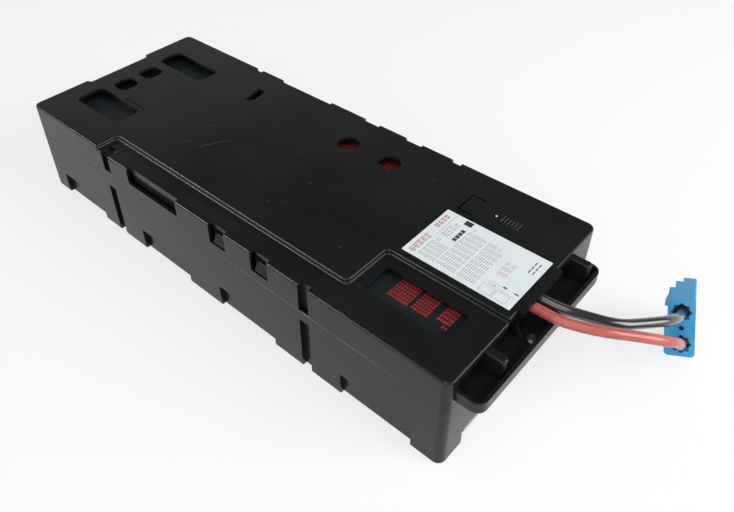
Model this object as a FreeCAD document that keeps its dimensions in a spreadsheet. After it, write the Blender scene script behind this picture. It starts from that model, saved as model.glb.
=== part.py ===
import FreeCAD, Part
import math
import os
import re
import Sketcher
from FreeCAD import Placement, Rotation, Vector

# Battery cartridge for a rack-mounted uninterruptible power supply: four sealed 12 V batteries lie
# in a row in a moulded tray, a clip-on top cover closes it, and two leads with a two-pole
# connector leave the front.
# X is the width, -Y is the front (the lead end) and +Z is up.  The origin is the centre of the
# underside of the whole case, pull pan included.  All sizes are in millimetres.

SIZES = {
    # case
    "body_length": 416.0,
    "body_width": 162.0,
    "parting_height": 54.0,
    "deck_height": 77.0,
    "plateau_rise": 3.5,
    "wall": 2.4,
    "case_corner": 5.5,
    "case_edge": 1.5,
    "clear_half": 75.4,
    # plateau outline: how far its left edge stands from the case's left side
    "deck_strip": 19.3,
    "deck_corner": 57.5,
    "deck_corner_length": 88.5,
    "far_plateau": 91.0,
    # vertical grooves, one pair of grooves at each gap between facing batteries
    "groove_width": 8.4,
    "groove_depth": 3.8,
    "groove_skin": 1.8,
    "groove_top": 46.0,
    "groove_near_at": 107.5,
    "groove_far_at": 315.5,
    "groove_far_sill": 61.0,
    "groove_notch": 10.0,
    "window_depth": 3.4,
    # recesses between the feet
    "foot_recess_height": 19.5,
    "foot_recess_depth": 3.5,
    "foot_recess_width": 56.0,
    "front_recess_half": 60.0,
    "front_recess_height": 14.0,
    # battery row
    "battery_length": 150.5,
    "battery_thickness": 65.0,
    "battery_height": 94.0,
    "battery_corner": 3.0,
    "battery_base": 6.2,
    "terminal_gap": 12.0,
    "row_start": 7.6,
    "back_to_back": 0.4,
    "terminal_spread": 63.5,
    "terminal_level": 45.0,
    "tab_width": 6.3,
    "tab_thickness": 0.8,
    "tab_reach": 7.0,
    "floor_rib_height": 2.6,
    "floor_rib_width": 2.0,
    "pad_length": 130.0,
    "pad_width": 70.0,
    # pull pan on the front
    "pan_reach": 16.4,
    "pan_left": 74.5,
    "pan_right": 62.0,
    "pan_base": 57.5,
    "pan_rim": 66.8,
    "pan_corner": 7.0,
    "rib_width": 6.0,
    "rib_spread": 48.0,
    "rib_reach": 12.6,
    "rib_top": 75.5,
    "lip_drop": 5.5,
    "hollow_depth": 4.8,
    "hollow_right": 46.6,
    # lead outlet and its canopy
    "outlet_left": -8.0,
    "outlet_right": 13.5,
    "outlet_sill": 66.0,
    "canopy_left": -15.5,
    "canopy_right": 30.0,
    "canopy_reach": 3.6,
    "canopy_drop": 3.4,
    # leads and connector
    "lead_diameter": 6.6,
    "jumper_diameter": 5.0,
    "lead_spread": 8.5,
    "lead_left_x": -1.5,
    "lead_level": 74.6,
    "housing_width": 37.5,
    "housing_thickness": 16.0,
    "housing_length": 47.5,
    "pole_pitch": 21.0,
    "wire_bore": 10.2,
    "flank_step": 1.8,
    "wire_seat": 8.0,
    "lead_exit": 3.6,
    "cable_level": 73.9,
    "riser_x": 42.0,
    "barrel_x": 50.0,
    "connection_up": 51.2,
    "connection_down": 26.2,
    # labels
    "label_film": 0.25,
    "cover_label_length": 77.5,
    "cover_label_width": 50.0,
    "cover_label_front": 4.0,
    "cover_label_left": -18.3,
}

# Grip windows and latch windows in the cover's skirt: distance from the front, width, sill height.
SKIRT_WINDOWS = {
    "grip": (259.0, 57.0, 63.5),
    "latch_far": (187.5, 15.6, 61.0),
    "latch_near": (146.5, 15.6, 61.0),
}
FOOT_RECESSES = (50.0, 165.5, 257.0, 367.5)
SCREW_AT = (-11.5, -209.8)
WIRE_FACE_AT = (78.0, -267.9)

doc = FreeCAD.newDocument("battery_cartridge")
sheet = doc.addObject("Spreadsheet::Sheet", "Sizes")
for row, (alias, size) in enumerate(SIZES.items(), start=1):
    sheet.set(f"A{row}", alias)
    sheet.set(f"B{row}", str(size))
    sheet.setAlias(f"B{row}", alias)
doc.recompute()

FRONT = "(pan_reach - body_length) / 2"
BACK = "(pan_reach + body_length) / 2"
HALF = "body_width / 2"
TOP = "deck_height + plateau_rise"
BEVEL = "PartDesign::Chamfer"


def bound(text):
    """The expression with every size read from the sheet."""
    return re.sub(r"\b[a-z]\w*", lambda name: "Sizes." + name.group(0), str(text))


def number(text):
    """What an expression of sizes comes to now."""
    return float(sheet.evalExpression(bound(text)))


def behind(distance):
    """The Y of a point so far behind the case's front wall."""
    return f"({FRONT} + {distance})"


def rectangle(left, right, front, back):
    """The four corners of a rectangle, as pairs of expressions."""
    return [(left, front), (right, front), (right, back), (left, back)]


def strip(centre, width):
    """The front and back of a stretch of the case's side, centred so far behind the front."""
    return behind(f"{centre} - ({width}) / 2"), behind(f"{centre} + ({width}) / 2")


class Moulding:
    """A PartDesign body made of pads, pockets and rounded edges whose sizes are all bound to the sheet."""

    def __init__(self, label):
        self.body = doc.addObject("PartDesign::Body", label)
        self.body.Label = label

    def sketch(self, name, plane, level, *outlines):
        """Closed outlines on a plane parallel to one of the body's own, at a level along its axis."""
        sketch = self.body.newObject("Sketcher::SketchObject", name)
        origin = [item for item in self.body.Origin.OriginFeatures if item.Role == plane][0]
        sketch.AttachmentSupport = [(origin, "")]
        sketch.MapMode = "FlatFace"
        along_normal = f"-({level})" if plane == "XZ_Plane" else level
        sketch.setExpression(".AttachmentOffset.Base.z", bound(along_normal))
        for corners in outlines:
            self._outline(sketch, corners)
        return sketch

    def _outline(self, sketch, corners):
        """Straight sides between the corners, or one circle, held to their expressions."""
        if corners[0] == "circle":
            self._circle(sketch, *corners[1:])
            return
        points = [Vector(number(x), number(y), 0) for x, y in corners]
        first = sketch.GeometryCount
        count = len(points)
        for index, point in enumerate(points):
            sketch.addGeometry(Part.LineSegment(point, points[(index + 1) % count]), False)
        for index in range(count):
            end = first + (index + 1) % count
            sketch.addConstraint(Sketcher.Constraint("Coincident", first + index, 2, end, 1))
        for index, (x, y) in enumerate(corners):
            for direction, text, size in (("DistanceX", x, points[index].x), ("DistanceY", y, points[index].y)):
                held = sketch.addConstraint(Sketcher.Constraint(direction, -1, 1, first + index, 1, size))
                sketch.setExpression(f"Constraints[{held}]", bound(text))

    def _circle(self, sketch, x, y, radius):
        """A circle whose centre and radius are held to their expressions."""
        centre = Vector(number(x), number(y), 0)
        ring = sketch.addGeometry(Part.Circle(centre, Vector(0, 0, 1), number(radius)), False)
        for direction, text, size in (("DistanceX", x, centre.x), ("DistanceY", y, centre.y)):
            held = sketch.addConstraint(Sketcher.Constraint(direction, -1, 1, ring, 3, size))
            sketch.setExpression(f"Constraints[{held}]", bound(text))
        held = sketch.addConstraint(Sketcher.Constraint("Radius", ring, number(radius)))
        sketch.setExpression(f"Constraints[{held}]", bound(radius))

    def _extrude(self, kind, name, sketch, length, reverse):
        feature = self.body.newObject(kind, name)
        feature.Profile = sketch
        feature.setExpression("Length", bound(length))
        feature.Reversed = reverse
        doc.recompute()
        return feature

    def pad(self, name, plane, level, length, *outlines, towards=1):
        """Adds material from a level along the plane's axis, towards + or -."""
        sketch = self.sketch(name + "_outline", plane, level, *outlines)
        against_normal = towards < 0 if plane != "XZ_Plane" else towards > 0
        return self._extrude("PartDesign::Pad", name, sketch, length, against_normal)

    def pocket(self, name, plane, level, length, *outlines, towards=-1):
        """Takes material away from a level along the plane's axis, and stops the build if none went."""
        before = self.body.Shape.Volume
        sketch = self.sketch(name + "_outline", plane, level, *outlines)
        along_normal = towards > 0 if plane != "XZ_Plane" else towards < 0
        feature = self._extrude("PartDesign::Pocket", name, sketch, length, along_normal)
        if self.body.Shape.Volume > before - 1.0:
            raise RuntimeError(f"{self.body.Label}: {name} cut nothing")
        return feature

    def round_edges(self, name, radius, chosen, kind="PartDesign::Fillet"):
        """Rounds or bevels the edges of the body so far that the test picks."""
        base = self.body.Tip
        edges = [f"Edge{n}" for n, edge in enumerate(base.Shape.Edges, start=1) if chosen(edge)]
        if not edges:
            raise RuntimeError(f"{self.body.Label}: {name} found no edge")
        feature = self.body.newObject(kind, name)
        feature.Base = (base, edges)
        feature.setExpression("Radius" if kind == "PartDesign::Fillet" else "Size", bound(radius))
        doc.recompute()
        return feature

    def place(self, placement):
        self.body.Placement = placement
        return self.body


def vertical(edge, x=None, y=None, near=0.2):
    """True for an upright edge, at the given X and Y if they are stated."""
    box = edge.BoundBox
    upright = box.XLength < 0.01 and box.YLength < 0.01
    return upright and (x is None or abs(box.XMin - x) < near) and (y is None or abs(box.YMin - y) < near)


def level_edge(edge, z, near=0.05):
    """True for an edge that lies at one height."""
    return abs(edge.BoundBox.ZMin - z) < near and edge.BoundBox.ZLength < near


def side_bands(bands, inner, outer):
    """Rectangles on both sides of the case, between two distances from its middle plane."""
    outlines = []
    for centre, width in bands:
        front, back = strip(centre, width)
        outlines.append(rectangle(inner, outer, front, back))
        outlines.append(rectangle(f"-({outer})", f"-({inner})", front, back))
    return outlines


GROOVES = (("groove_near_at", "groove_width"), ("groove_far_at", "groove_width"))
GROOVE_BACKS = tuple((centre, "groove_width + 2 * groove_skin") for centre, _ in GROOVES)
RECESSES = tuple((at, "foot_recess_width") for at in FOOT_RECESSES)
RECESS_BACKS = tuple((at, "foot_recess_width + 2 * groove_skin") for at in FOOT_RECESSES)
CASE = rectangle(f"-{HALF}", HALF, FRONT, BACK)
INSIDE = rectangle(f"-({HALF} - wall)", f"{HALF} - wall", f"{FRONT} + wall", f"{BACK} - wall")
OUTSIDE = f"{HALF} + 1"


def case_corner(edge):
    """True for the upright edges at the case's four corners."""
    return any(vertical(edge, x, y) for x in (-number(HALF), number(HALF)) for y in (number(FRONT), number(BACK)))


def inner_corner(edge):
    """True for the upright edges at the four corners of the cavity."""
    half = number(f"{HALF} - wall")
    ends = (number(f"{FRONT} + wall"), number(f"{BACK} - wall"))
    return any(vertical(edge, x, y) for x in (-half, half) for y in ends)


def bottom_tray():
    """The lower moulding: floor on four feet a side, walls with locating grooves, cover latches."""
    tray = Moulding("bottom_tray")
    tray.pad("block", "XY_Plane", "0", "parting_height", CASE)
    tray.round_edges("corners", "case_corner", case_corner)
    tray.round_edges("underside_edge", "case_edge", lambda edge: level_edge(edge, 0))
    tray.pocket("cavity", "XY_Plane", "parting_height", "parting_height - wall", INSIDE)
    tray.round_edges("cavity_corners", "case_corner - wall", inner_corner)
    rim = number("parting_height")
    tray.round_edges("parting_bevel", "0.5", lambda edge: level_edge(edge, rim) and on_outline(edge), BEVEL)

    into_wall = f"{HALF} - wall + 0.5"
    backs = side_bands(GROOVE_BACKS, "clear_half", into_wall)
    tray.pad("groove_backs", "XY_Plane", "wall - 0.5", "groove_top + groove_skin - wall + 0.5", *backs)
    backs = side_bands(RECESS_BACKS, "clear_half", into_wall)
    tray.pad("recess_backs", "XY_Plane", "wall - 0.5", "foot_recess_height + groove_skin - wall + 0.5", *backs)
    end_half = "front_recess_half + groove_skin"
    ends = [
        rectangle(f"-({end_half})", end_half, f"{FRONT} + wall - 0.5", behind("foot_recess_depth + groove_skin")),
        rectangle(f"-({end_half})", end_half, f"{BACK} - foot_recess_depth - groove_skin", f"{BACK} - wall + 0.5"),
    ]
    tray.pad("end_recess_backs", "XY_Plane", "wall - 0.5", "front_recess_height + groove_skin - wall + 0.5", *ends)

    grooves = side_bands(GROOVES, f"{HALF} - groove_depth", OUTSIDE)
    tray.pocket("grooves", "XY_Plane", "0", "groove_top", *grooves, towards=1)
    recesses = side_bands(RECESSES, f"{HALF} - foot_recess_depth", OUTSIDE)
    tray.pocket("foot_recesses", "XY_Plane", "0", "foot_recess_height", *recesses, towards=1)
    half = "front_recess_half"
    ends = [
        rectangle(f"-{half}", half, f"{FRONT} - 1", behind("foot_recess_depth")),
        rectangle(f"-{half}", half, f"{BACK} - foot_recess_depth", f"{BACK} + 1"),
    ]
    tray.pocket("end_recesses", "XY_Plane", "0", "front_recess_height", *ends, towards=1)

    ribs = []
    for rib_x in (-60, -20, 20, 60):
        ribs.append(rectangle(f"{rib_x} - floor_rib_width / 2", f"{rib_x} + floor_rib_width / 2",
                              f"{FRONT} + 6.5", f"{BACK} - 6.5"))
    tray.pad("floor_ribs", "XY_Plane", "wall - 0.5", "floor_rib_height + 0.5", *ribs)
    for window in ("latch_near", "latch_far"):
        centre, _, sill = SKIRT_WINDOWS[window]
        profile = latch_profile(sill)
        mirrored = [(f"-({x})", z) for x, z in profile]
        tray.pad(window, "XZ_Plane", behind(f"{centre} - 5.5"), "11", profile, mirrored)
    return tray.body


def latch_profile(sill):
    """Section of a springy latch: a foot on the wall, a thin tongue and a sloping nose over the sill."""
    root = "clear_half + 0.15"
    face = "clear_half + 1.8"
    return [
        (root, "parting_height - 9"),
        (f"{HALF} - wall + 0.3", "parting_height - 9"),
        (f"{HALF} - wall + 0.3", "parting_height - 2.5"),
        (face, "parting_height - 0.5"),
        (face, f"{sill} + 0.3"),
        (f"{HALF} - 1.2", f"{sill} + 0.3"),
        (face, f"{sill} + 6"),
        (face, f"{sill} + 8"),
        (root, f"{sill} + 8"),
    ]


def on_outline(edge):
    """True for an edge that lies on the outer sides of the case."""
    box = edge.BoundBox
    half = number(HALF)
    outer_x = min(abs(abs(box.XMin) - half), abs(abs(box.XMax) - half)) < 0.01
    outer_y = min(abs(box.YMin - number(FRONT)), abs(box.YMax - number(BACK))) < 0.01
    return outer_x or outer_y


def plateau_outline(inset):
    """The raised field of the cover: full width at the far end, stepped in twice towards the front."""
    edge = f"-({HALF} - {inset})"
    strip_edge = f"-({HALF} - deck_strip - {inset})"
    corner_edge = f"-({HALF} - deck_corner - {inset})"
    far_step = behind(f"body_length - far_plateau + {inset}")
    near_step = behind(f"deck_corner_length + {inset}")
    return [
        (corner_edge, f"{FRONT} + {inset}"),
        (f"{HALF} - {inset}", f"{FRONT} + {inset}"),
        (f"{HALF} - {inset}", f"{BACK} - {inset}"),
        (edge, f"{BACK} - {inset}"),
        (edge, far_step),
        (strip_edge, far_step),
        (strip_edge, near_step),
        (corner_edge, near_step),
    ]


def box_between(left, right, near, far):
    """A rectangle between two X values and two distances behind the front wall."""
    return rectangle(left, right, behind(near), behind(far))


def slot(x, distance, half_x, half_y, corner=0.35):
    """An eight-sided opening about a point of the top: a rectangle with its corners taken off."""
    cut = min(half_x, half_y) * corner
    y = behind(distance)
    return [
        (f"{x} - {half_x - cut}", f"{y} - {half_y}"), (f"{x} + {half_x - cut}", f"{y} - {half_y}"),
        (f"{x} + {half_x}", f"{y} - {half_y - cut}"), (f"{x} + {half_x}", f"{y} + {half_y - cut}"),
        (f"{x} + {half_x - cut}", f"{y} + {half_y}"), (f"{x} - {half_x - cut}", f"{y} + {half_y}"),
        (f"{x} - {half_x}", f"{y} + {half_y - cut}"), (f"{x} - {half_x}", f"{y} - {half_y - cut}"),
    ]


def top_cover():
    """The upper moulding: stepped top, skirt with grip and latch windows, pull pan and lead outlet."""
    cover = Moulding("top_cover")
    cover_shell(cover)
    cover_skirt(cover)
    cover_front(cover)
    cover_windows(cover)
    return cover.body


def cover_shell(cover):
    """Skirt, deck and plateau as one hollow form with rounded edges."""
    deck_rise = "deck_height - parting_height"
    cover.pad("skirt_block", "XY_Plane", "parting_height", deck_rise, CASE)
    cover.pad("plateau", "XY_Plane", "deck_height", "plateau_rise", plateau_outline("0"))
    cover.round_edges("corners", "case_corner", case_corner)
    top, deck = number(TOP), number("deck_height")
    cover.round_edges("step_corners", "4", lambda edge: vertical(edge) and edge.BoundBox.ZMin > deck - 0.1
                      and edge.Length < 4 and not on_outline(edge))
    cover.round_edges("top_edge", "case_edge", lambda edge: level_edge(edge, top)
                      or (level_edge(edge, deck) and on_outline(edge)))
    cover.pocket("cavity", "XY_Plane", "parting_height", f"{deck_rise} - wall", INSIDE, towards=1)
    cover.round_edges("cavity_corners", "case_corner - wall", inner_corner)
    cover.pocket("plateau_cavity", "XY_Plane", "deck_height - wall", "plateau_rise", plateau_outline("wall"),
                 towards=1)


def cover_skirt(cover):
    """Grooves, grip windows and latch windows down both sides, and the notch in the far end."""
    near = ("groove_near_at", "groove_width + 2 * groove_skin")
    far = ("groove_far_at", "groove_width + 2 * groove_skin")
    into_wall = f"{HALF} - wall + 0.5"
    under_deck = "deck_height - wall + 0.5"
    left, right = side_bands((near,), "clear_half", into_wall)[::-1]
    cover.pad("near_back_left", "XY_Plane", "parting_height", f"{under_deck} - parting_height", left)
    cover.pad("near_back_right", "XY_Plane", "parting_height", f"{under_deck} + plateau_rise - parting_height",
              right)
    left, right = side_bands((far,), "clear_half", into_wall)[::-1]
    sill = "groove_far_sill - groove_skin"
    cover.pad("far_back_left", "XY_Plane", sill, f"{under_deck} - ({sill})", left)
    cover.pad("far_back_right", "XY_Plane", sill, f"{under_deck} + plateau_rise - ({sill})", right)
    cover.pocket("near_grooves", "XY_Plane", "parting_height", "40",
                 *side_bands((GROOVES[0],), f"{HALF} - groove_depth", OUTSIDE), towards=1)
    cover.pocket("far_grooves", "XY_Plane", "groove_far_sill", "40",
                 *side_bands((GROOVES[1],), f"{HALF} - groove_depth", OUTSIDE), towards=1)
    notch_front, notch_back = "groove_far_at - 5.2", "groove_far_at + 5.2"
    cover.pad("notch_floor", "XY_Plane", "deck_height - wall - 2.6", "3",
              box_between("-(clear_half + 3.4)", "-(clear_half - 6.8)", f"{notch_front} - 1.8", f"{notch_back} + 1.8"))
    cover.pocket("notch", "XY_Plane", "deck_height - wall - 0.6", "20",
                 box_between(f"-({OUTSIDE})", f"-({HALF} - groove_notch)", notch_front, notch_back), towards=1)
    centre, width, _ = SKIRT_WINDOWS["grip"]
    left, right = side_bands(((centre, f"{width} + 3"),), "clear_half", into_wall)[::-1]
    cover.pad("grip_flange_left", "XY_Plane", "deck_height - 5", "5", left)
    cover.pad("grip_flange_right", "XY_Plane", "deck_height - 5", "plateau_rise + 5", right)
    for name, (centre, width, sill) in SKIRT_WINDOWS.items():
        bands = side_bands(((centre, width),), f"{HALF} - window_depth", OUTSIDE)
        cover.pocket(name + "_windows", "XY_Plane", sill, "40", *bands, towards=1)
    half, reach, sill = 28.5, 5.0, 62.0
    inner = rectangle(f"-{half + 2.6}", f"{half + 2.6}", f"{BACK} - {reach + 1.8}", f"{BACK} - wall + 0.5")
    cover.pad("end_notch_back", "XY_Plane", sill - 1.8, f"{under_deck} + plateau_rise - {sill - 1.8}", inner)
    notch = [(f"-{half + 3}", f"{BACK} + 1"), (f"-{half}", f"{BACK} - {reach}"), (half, f"{BACK} - {reach}"),
             (half + 3, f"{BACK} + 1")]
    cover.pocket("end_notch", "XY_Plane", sill, "40", notch, towards=1)


def hollow_curve(first_y, first_z, last_y, last_z, depth, steps=6):
    """Points along a shallow hollow between two points: a parabola that sinks to a depth at its middle."""
    points = []
    for step in range(steps + 1):
        part = step / steps
        sink = 4 * part * (1 - part)
        points.append((f"({first_y}) * {1 - part} + ({last_y}) * {part} + {sink} * {depth}",
                       f"({first_z}) * {1 - part} + ({last_z}) * {part}"))
    return points


def cover_front(cover):
    """Pull pan with its two ribs, the set-back wall under the lip, the lead outlet and its canopy."""
    pan_front = f"{FRONT} - pan_reach"
    cover.pad("pan", "XY_Plane", "pan_base", "pan_rim - pan_base",
              rectangle("-pan_left", "pan_right", pan_front, f"{FRONT} + wall"))
    pan_y = number(pan_front)
    cover.round_edges("pan_corners", "pan_corner", lambda edge: vertical(edge, y=pan_y))
    cover.round_edges("pan_underside", "1.6", lambda edge: level_edge(edge, number("pan_base"))
                      and edge.BoundBox.YMin < number(FRONT) - 0.5 and edge.BoundBox.YMax < number(FRONT) + 0.1)
    back = rectangle("-(pan_left + 0.5)", "hollow_right + wall", f"{FRONT} + wall - 0.5",
                     behind("hollow_depth + wall"))
    cover.pad("front_wall_back", "XY_Plane", "pan_base", "deck_height - wall + 0.5 - pan_base", back)
    under_outlet = rectangle("outlet_left - 4", "hollow_right + wall", f"{FRONT} + wall - 0.5",
                             behind("hollow_depth + wall"))
    cover.pad("outlet_back", "XY_Plane", "deck_height - wall", "plateau_rise + 0.5", under_outlet)
    floor = "pan_base + wall"
    cover.pocket("pan_interior", "XY_Plane", floor, "pan_rim - pan_base + 5",
                 rectangle("-(pan_left - wall)", "pan_right - wall", f"{pan_front} + wall", FRONT), towards=1)
    lip_left, lip_right = "deck_height - lip_drop", "deck_height - 2"
    hollow = [
        ("-(pan_left - wall)", floor), ("hollow_right", floor), ("hollow_right", lip_right),
        ("-21", lip_right), ("-26", lip_left), ("-(pan_left - wall)", lip_left),
    ]
    cover.pocket("front_hollow", "XZ_Plane", f"{FRONT} - 0.5", "hollow_depth + 0.5", hollow, towards=1)
    for side in ("left", "right"):
        sign = "-" if side == "left" else ""
        start = "hollow_depth + 0.5" if side == "left" else "0.5"
        centre = "(rib_spread - 2.5)" if side == "left" else "(rib_spread + 3)"
        rib = rectangle(f"{sign}{centre} - rib_width / 2", f"{sign}{centre} + rib_width / 2",
                        f"{FRONT} - rib_reach", f"{FRONT} + {start}")
        cover.pad(side + "_rib", "XY_Plane", f"{floor} - 0.5", "rib_top - pan_base - wall + 0.5", rib)
        nose = number(f"{FRONT} - rib_reach")
        cover.round_edges(side + "_rib_nose", "rib_width / 2 - 0.6", lambda edge: vertical(edge, y=nose)
                          and edge.BoundBox.ZMax > number("rib_top") - 0.1)
        cover.round_edges(side + "_rib_top", "1.4", lambda edge: level_edge(edge, number("rib_top"))
                          and edge.BoundBox.YMin < number(FRONT) - 9)
    screw_hole = ("circle", SCREW_AT[0], SCREW_AT[1], "1.6")
    cover.pocket("screw_hole", "XY_Plane", "pan_base - 1", "6", screw_hole, towards=1)
    roof = rectangle("canopy_left", "canopy_right", f"{FRONT} - canopy_reach", f"{FRONT} + 1")
    cover.pad("canopy", "XY_Plane", f"{TOP} - canopy_drop", "canopy_drop", roof)
    cheek_top, cheek_foot = f"{TOP} - 1", f"{floor} - 0.5"
    cheek = [(behind("hollow_depth + 0.5"), cheek_foot), (behind("hollow_depth + 0.5"), cheek_top),
             (f"{FRONT} - canopy_reach", cheek_top)]
    cheek += hollow_curve(f"{FRONT} - canopy_reach", f"{TOP} - canopy_drop", f"{FRONT} - 6", cheek_foot, "3.6")
    cover.pad("canopy_cheek", "YZ_Plane", "canopy_left", "wall", cheek)
    outlet = [("outlet_left", "outlet_sill"), ("outlet_right", "outlet_sill"),
              ("outlet_right", f"{TOP} - wall"), ("outlet_left", f"{TOP} - wall")]
    cover.pocket("outlet", "XZ_Plane", f"{FRONT} - canopy_reach - 1", "canopy_reach + hollow_depth + wall + 2",
                 outlet, towards=1)


def cover_windows(cover):
    """Openings through the top: inspection windows over the batteries, core-out holes and latch slots."""
    corner = box_between("-57", "-32.6", 19.4, 80.5)
    round_windows = [("circle", "46", behind(182.5), "8.6"), ("circle", "47", behind(143.8), "8.4")]
    far = [
        slot(42.3, 368.5, 10.7, 28, 0.3), slot(-40.7, 368.5, 12.2, 28, 0.3),
        slot(13.7, 384.8, 8.6, 8.6, 0.4), slot(-11.7, 384.8, 8.6, 8.6, 0.4),
    ]
    tongue = [(36.7, 66.3), (38, 66.3), (38, 76.8), (54.7, 76.8), (54.7, 66.3), (56, 66.3), (56, 78.2), (36.7, 78.2)]
    tongue = [(x, behind(distance)) for x, distance in tongue]
    slant = [(37.7, behind(281.4)), (57, behind(285)), (57, behind(292.7)), (37.7, behind(289))]
    through = [corner, *round_windows, *far, tongue, slant, box_between(-26.3, -24.7, 340, 366)]
    cover.pocket("top_windows", "XY_Plane", "deck_height - wall - 1", "20", *through, towards=1)
    corners = [(-57, 19.4), (-32.6, 19.4), (-57, 80.5), (-32.6, 80.5)]
    places = [(x, number(behind(distance))) for x, distance in corners]
    cover.round_edges("window_corners", "4", lambda edge: any(vertical(edge, x, y) for x, y in places))


def sized_box(name, length, width, height, x, y, z):
    """A Part box with sizes and lowest corner bound to the sheet."""
    box = doc.addObject("Part::Box", name)
    box.setExpression("Length", bound(length))
    box.setExpression("Width", bound(width))
    box.setExpression("Height", bound(height))
    for axis, text in (("x", x), ("y", y), ("z", z)):
        box.setExpression(f"Placement.Base.{axis}", bound(text))
    return box


def group(label, members):
    """One node made of several separate solids."""
    compound = doc.addObject("Part::Compound", label)
    compound.Label = label
    compound.Links = members
    doc.recompute()
    return compound


# ------------------------------------------------------------------ batteries and their terminals
BATTERY_STARTS = {
    4: "row_start",
    3: "row_start + battery_height + terminal_gap",
    2: "row_start + 2 * battery_height + terminal_gap + back_to_back",
    1: "row_start + 3 * battery_height + 2 * terminal_gap + back_to_back",
}
FACING_FRONT = (1, 3)
POLES = {"positive": "-terminal_spread", "negative": "terminal_spread"}


def terminal_face(battery):
    """How far behind the front wall the terminal face of a battery lies."""
    start = BATTERY_STARTS[battery]
    return start if battery in FACING_FRONT else f"{start} + battery_height"


def battery_place(battery):
    """Terminal face towards the front, or turned half round its long axis to face the back."""
    middle = number("battery_base + battery_thickness / 2")
    origin = Vector(0, number(behind(terminal_face(battery))), middle)
    turn = 0 if battery in FACING_FRONT else 180
    return Placement(origin, Rotation(Vector(1, 0, 0), turn))


def battery(index):
    """A sealed battery lying on its long side: case, lid seam and the shallow vent cover field."""
    case = Moulding(f"battery_{index}")
    half_length, half_thickness = "battery_length / 2", "battery_thickness / 2"
    section = rectangle(f"-{half_length}", half_length, f"-{half_thickness}", half_thickness)
    case.pad("case", "XZ_Plane", "0", "battery_height", section)
    half = number(half_length)
    case.round_edges("corners", "battery_corner", lambda edge: edge.BoundBox.YLength > 50
                     and abs(abs(edge.BoundBox.XMin) - half) < 0.1)
    seam_depth, seam_at, seam_width = 0.5, 6.5, 0.6
    inner = rectangle(f"-({half_length} - {seam_depth})", f"{half_length} - {seam_depth}",
                      f"-({half_thickness} - {seam_depth})", f"{half_thickness} - {seam_depth}")
    outer = rectangle(f"-({half_length} + 1)", f"{half_length} + 1",
                      f"-({half_thickness} + 1)", f"{half_thickness} + 1")
    case.pocket("lid_seam", "XZ_Plane", f"{seam_at}", f"{seam_width}", outer, inner, towards=1)
    field = rectangle(-48, 48, -24, 4)
    case.pocket("vent_field", "XZ_Plane", "-0.1", "0.9", field, towards=1)
    case.place(battery_place(index))
    return case.body


def battery_terminals(index):
    """The two flat tabs that stand on a battery's terminal face."""
    tabs = Moulding(f"battery_{index}_terminals")
    outlines = []
    for x in POLES.values():
        outlines.append([
            (f"{x} - tab_width / 2", "0"), (f"{x} - tab_width / 2", "-(tab_reach - 1.2)"),
            (f"{x} - tab_width / 2 + 1.2", "-tab_reach"), (f"{x} + tab_width / 2 - 1.2", "-tab_reach"),
            (f"{x} + tab_width / 2", "-(tab_reach - 1.2)"), (f"{x} + tab_width / 2", "0"),
        ])
    level = "terminal_level - battery_thickness / 2 - tab_thickness / 2"
    tabs.pad("tabs", "XY_Plane", level, "tab_thickness", *outlines)
    tabs.place(battery_place(index))
    return tabs.body


BARREL_OFF_FACE = 3.7


def receptacle(label, index, pole):
    """An insulated right-angle receptacle: hood over the tab, barrel pointing to the case's middle."""
    sleeve = Moulding(label)
    x = POLES[pole]
    inward = 1 if pole == "positive" else -1
    level = "terminal_level - battery_thickness / 2"
    hood = rectangle(f"{x} - 5", f"{x} + 5", "-7.4", "-0.2")
    sleeve.pad("hood", "XY_Plane", f"{level} - 3.1", "6.2", hood)
    barrel = ("circle", f"-{BARREL_OFF_FACE}", level, "3.4")
    start = f"{x} + {inward * 3}"
    sleeve.pad("barrel", "YZ_Plane", start, "terminal_spread - barrel_x - 3", barrel, towards=inward)
    tab_slot = rectangle(f"{x} - tab_width / 2 - 0.2", f"{x} + tab_width / 2 + 0.2", "-(tab_reach + 0.1)", "1")
    sleeve.pocket("tab_slot", "XY_Plane", f"{level} - tab_thickness / 2 - 0.15", "tab_thickness + 0.3", tab_slot,
                  towards=1)
    sleeve.place(battery_place(index))
    return sleeve.body


# ------------------------------------------------------------------ cables
def cable(label, diameter, points):
    """A round cable along straight runs joined by tangent arcs, as large as the runs allow."""
    corners = [Vector(*point) for point in points]
    edges = []
    radii = []
    here = corners[0]
    for before, corner, after in zip(corners, corners[1:], corners[2:]):
        arriving, leaving = (corner - before), (after - corner)
        turn = arriving.getAngle(leaving)
        trim = 0.45 * min(arriving.Length, leaving.Length)
        radii.append(trim / math.tan(turn / 2))
        start = corner - Vector(arriving).normalize() * trim
        end = corner + Vector(leaving).normalize() * trim
        outward = (corner - (start + end) * 0.5).normalize()
        sagitta = radii[-1] * (1 - math.cos(turn / 2))
        middle = (start + end) * 0.5 + outward * sagitta
        edges += [Part.LineSegment(here, start).toShape(), Part.Arc(start, middle, end).toShape()]
        here = end
    edges.append(Part.LineSegment(here, corners[-1]).toShape())
    path = Part.Wire(edges)
    ring = Part.Wire([Part.Circle(corners[0], corners[1] - corners[0], diameter / 2).toShape()])
    tube = path.makePipeShell([ring], True, False)
    expected = math.pi * diameter ** 2 / 4 * path.Length
    print(f"{label}: {path.Length:.1f} mm, radii {[round(radius, 1) for radius in radii]}, "
          f"volume {tube.Volume / expected:.4f} of section times length")
    if abs(tube.Volume / expected - 1) > 0.01:
        raise RuntimeError(f"{label}: the tube's volume is off")
    feature = doc.addObject("Part::Feature", label)
    feature.Shape = tube
    feature.Label = label
    return feature


def at(x, distance, z):
    """A point by its X, its distance behind the front wall and its height."""
    return x, number(FRONT) + distance, z


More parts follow.
